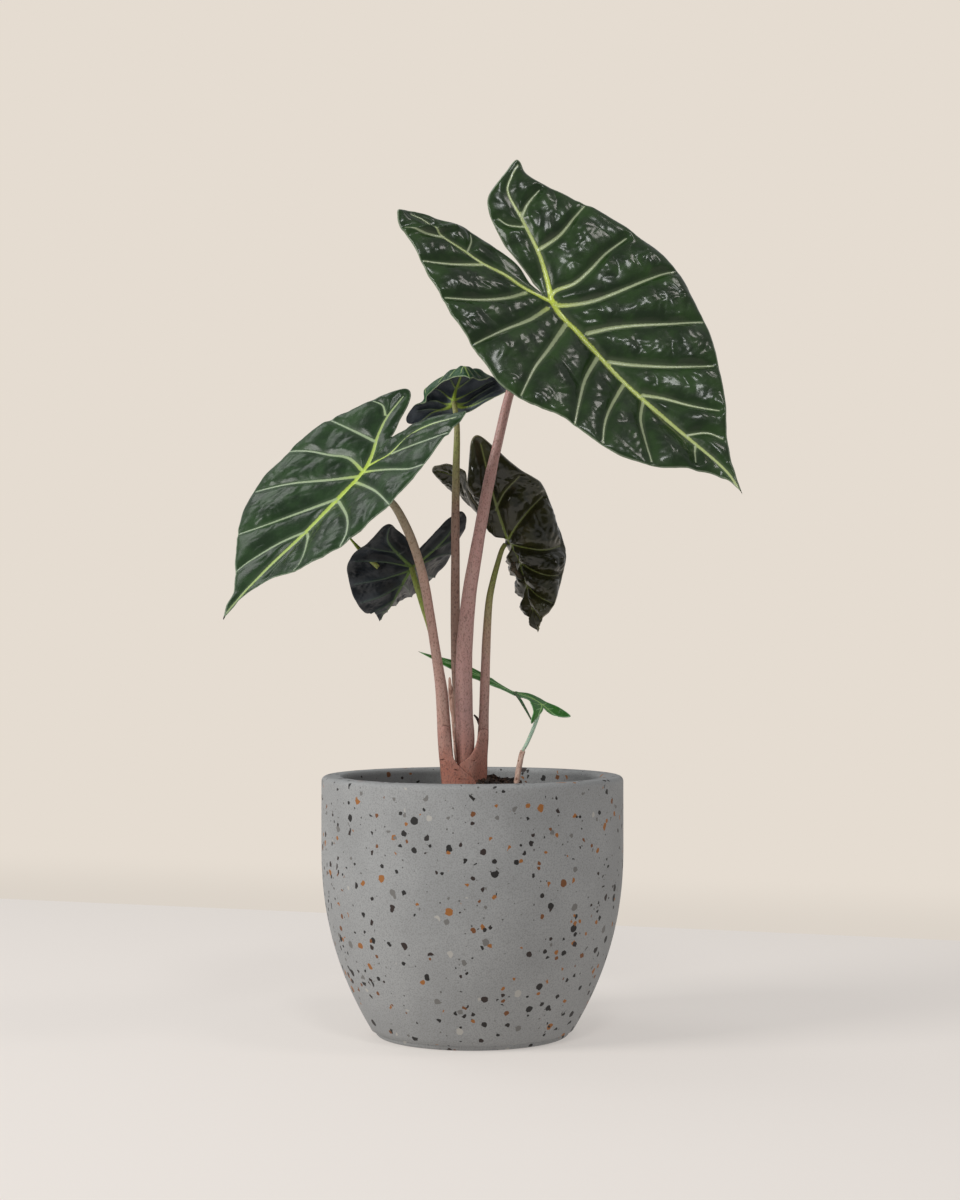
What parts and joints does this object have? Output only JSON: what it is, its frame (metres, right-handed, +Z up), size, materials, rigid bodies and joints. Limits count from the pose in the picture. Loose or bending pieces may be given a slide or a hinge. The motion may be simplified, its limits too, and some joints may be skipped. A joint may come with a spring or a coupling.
{
  "type": "potted alocasia",
  "caption": "Potted alocasia: large heart-shaped leaves on long slender petioles, rising from soil in a round speckled planter that rests on its flat base.",
  "frame": {"origin": "centre of the planter's flat base, where it rests on the floor", "axes": "+Z up from the floor, +X to the viewer's right, -Y towards the viewer who faces the largest leaf"},
  "size_m": [0.2919, 0.18, 0.5189],
  "materials": {
    "terrazzo": "matte",
    "soil": "matte",
    "crown": "matte",
    "petiole_pink": "satin",
    "petiole_brown": "satin",
    "petiole_green": "satin",
    "seedling_green": "satin",
    "dry_sheath": "matte",
    "dark_sheath": "matte",
    "blade_green": "gloss",
    "blade_teal": "satin",
    "blade_slate": "satin",
    "blade_olive": "gloss",
    "blade_young": "satin"
  },
  "bodies": {
    "root": {"pot": "terrazzo", "soil": "soil", "crown": "crown", "big_petiole": "petiole_pink", "left_petiole": "petiole_pink", "top_petiole": "petiole_brown", "hanging_petiole": "petiole_brown", "low_petiole": "petiole_green", "seedling_petiole": "seedling_green", "seedling_sheath": "dry_sheath", "dry_sheath": "dry_sheath", "old_sheath_tip": "dark_sheath", "big_leaf": "blade_green", "left_leaf": "blade_teal", "top_leaf": "blade_slate", "hanging_leaf": "blade_olive", "low_leaf": "blade_slate", "seedling_leaf": "blade_young"}
  },
  "joints": []
}
